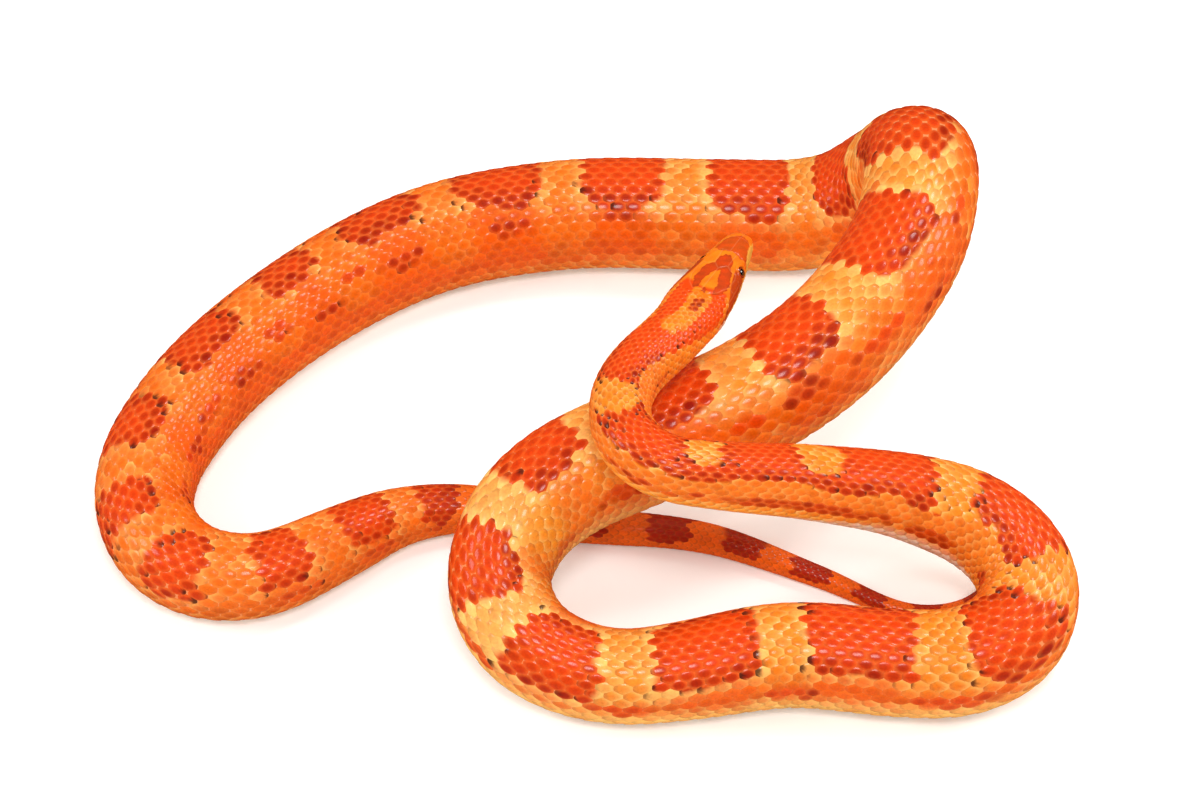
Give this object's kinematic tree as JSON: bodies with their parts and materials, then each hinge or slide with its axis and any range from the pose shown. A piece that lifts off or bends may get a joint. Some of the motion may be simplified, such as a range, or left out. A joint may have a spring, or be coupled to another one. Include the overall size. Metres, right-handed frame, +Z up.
{
  "type": "corn snake",
  "caption": "Life-size still model of a corn snake resting in a loose, partly raised coil, head lifted over its own body.",
  "frame": {"origin": "middle of the box at the level the belly rests on", "axes": "+X towards the right bend, along the longest extent; +Y from the front length to the rear length; +Z up from the surface it lies on"},
  "size_m": [0.2708, 0.1969, 0.0714],
  "materials": {
    "skin": "glossy overlapping scales, red saddles on orange",
    "eye": "wet gloss, round dark pupil in a red-brown iris"
  },
  "bodies": {
    "root": {"head": "skin", "jaw": "skin", "eye_left": "eye", "eye_right": "eye", "neck_1": "skin", "neck_2": "skin", "trunk_01": "skin", "trunk_02": "skin", "trunk_03": "skin", "trunk_04": "skin", "trunk_05": "skin", "trunk_06": "skin", "trunk_07": "skin", "trunk_08": "skin", "trunk_09": "skin", "trunk_10": "skin", "trunk_11": "skin", "trunk_12": "skin", "trunk_13": "skin", "trunk_14": "skin", "trunk_15": "skin", "trunk_16": "skin", "tail_1": "skin", "tail_2": "skin", "tail_3": "skin"}
  },
  "joints": []
}
